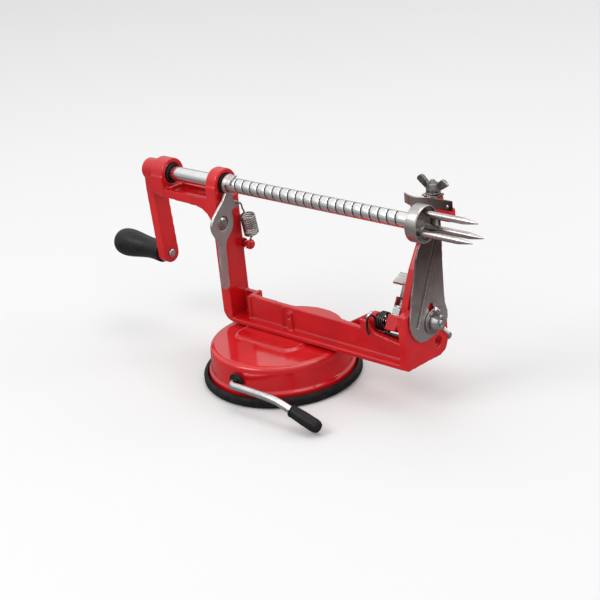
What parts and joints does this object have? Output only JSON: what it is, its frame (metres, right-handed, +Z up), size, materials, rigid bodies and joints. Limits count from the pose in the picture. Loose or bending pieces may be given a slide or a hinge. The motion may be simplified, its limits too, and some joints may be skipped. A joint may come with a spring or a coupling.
{
  "type": "apple peeler corer",
  "caption": "Hand-cranked apple peeler, corer and slicer on a suction base: a threaded shaft with a fork drives the apple past a peeling blade and through a slicing and coring blade.",
  "frame": {"origin": "centre of the suction cup's flat underside, on the surface it stands on", "axes": "+X along the feed screw towards the prongs, +Y away from the user's side, +Z up"},
  "size_m": [0.3105, 0.1085, 0.1337],
  "materials": {
    "red_enamel": "glossy enamel",
    "chrome": "bright plated",
    "steel": "brushed stainless",
    "spring_steel": "drawn wire",
    "black_plastic": "satin moulded",
    "rubber": "matt"
  },
  "bodies": {
    "frame": {"frame_casting": "red_enamel", "base_dome": "red_enamel", "base_screw_1": "chrome", "base_screw_2": "chrome", "suction_cup": "rubber", "lever_bush": "black_plastic", "release_pivot_screw": "steel", "spring_anchor": "red_enamel", "release_spring": "spring_steel", "arm_pivot_pin": "chrome", "torsion_spring": "spring_steel", "slicer_blade": "steel", "slicer_bolt": "chrome", "slicer_washer": "steel"},
    "bushes": {"bush_left": "black_plastic", "bush_right": "black_plastic"},
    "feed_shaft": {"feed_screw": "chrome", "fork_hub": "steel", "prong_1": "chrome", "prong_2": "chrome", "prong_3": "chrome", "crank_arm": "red_enamel", "crank_grub_screw": "steel", "handle_pin": "chrome"},
    "grip": {"handle_grip": "black_plastic"},
    "release_lever": {"release_lever": "steel"},
    "peeler": {"peeler_arm": "red_enamel", "peeling_blade": "steel", "blade_stud": "chrome", "blade_washer": "steel", "latch_stud": "chrome", "latch_nut": "chrome"},
    "blade_nut": {"blade_wing_nut": "chrome"},
    "latch": {"arm_latch": "steel"},
    "slicer_nut": {"slicer_wing_nut": "chrome"},
    "suction_lever": {"suction_lever_rod": "chrome", "suction_lever_cap": "rubber", "suction_cam": "steel"},
    "plunger": {"suction_plunger": "steel"}
  },
  "joints": [
    {"name": "crank_turn", "type": "hinge", "parent": "frame", "child": "bushes", "pos_m": [-0.05, 0.008, 0.12], "axis": [1, 0, 0], "range_deg": [-6840, 0]},
    {"name": "shaft_feed", "type": "slide", "parent": "bushes", "child": "feed_shaft", "axis": [1, 0, 0], "range_m": [-0.12066, 0]},
    {"name": "grip_spin", "type": "hinge", "parent": "feed_shaft", "child": "grip", "pos_m": [-0.13, 0.0114, 0.0587], "axis": [1, 0, 0], "continuous": true},
    {"name": "release_lever_swing", "type": "hinge", "parent": "frame", "child": "release_lever", "pos_m": [-0.0376, -0.0029, 0.0973], "axis": [1, 0, 0], "range_deg": [0, 18], "stiffness_Nm_per_rad": 0.1, "springref_deg": -17.19, "deforming": ["release_spring"]},
    {"name": "peeling_arm_swing", "type": "hinge", "parent": "frame", "child": "peeler", "pos_m": [0.0832, 0.0155, 0.047], "axis": [-1, 0, 0], "range_deg": [0, 60], "stiffness_Nm_per_rad": 0.12, "springref_deg": -22.92, "deforming": ["torsion_spring"]},
    {"name": "latch_swing", "type": "hinge", "parent": "peeler", "child": "latch", "pos_m": [0.0844, 0.01515, 0.0472], "axis": [0, 0.5, 0.866], "range_deg": [-25, 25]},
    {"name": "blade_nut_turn", "type": "hinge", "parent": "peeler", "child": "blade_nut", "pos_m": [0.0956, 0.0442, 0.128], "axis": [0, 0, 1], "range_deg": [-180, 180]},
    {"name": "slicer_nut_turn", "type": "hinge", "parent": "frame", "child": "slicer_nut", "pos_m": [0.107, 0.0236, 0.0508], "axis": [1, 0, 0], "range_deg": [-180, 180]},
    {"name": "suction_lever_turn", "type": "hinge", "parent": "frame", "child": "suction_lever", "pos_m": [0.004, -0.02, 0.015], "axis": [0, -1, 0], "range_deg": [0, 170]},
    {"name": "plunger_lift", "type": "slide", "parent": "frame", "child": "plunger", "axis": [0, 0, 1], "range_m": [0, 0.0023]}
  ],
  "couplings": [
    {"joint": "shaft_feed", "follows": "crank_turn", "m_per_rad": 0.0010106},
    {"joint": "plunger_lift", "follows": "suction_lever_turn", "m_per_rad": 0.00076394}
  ]
}
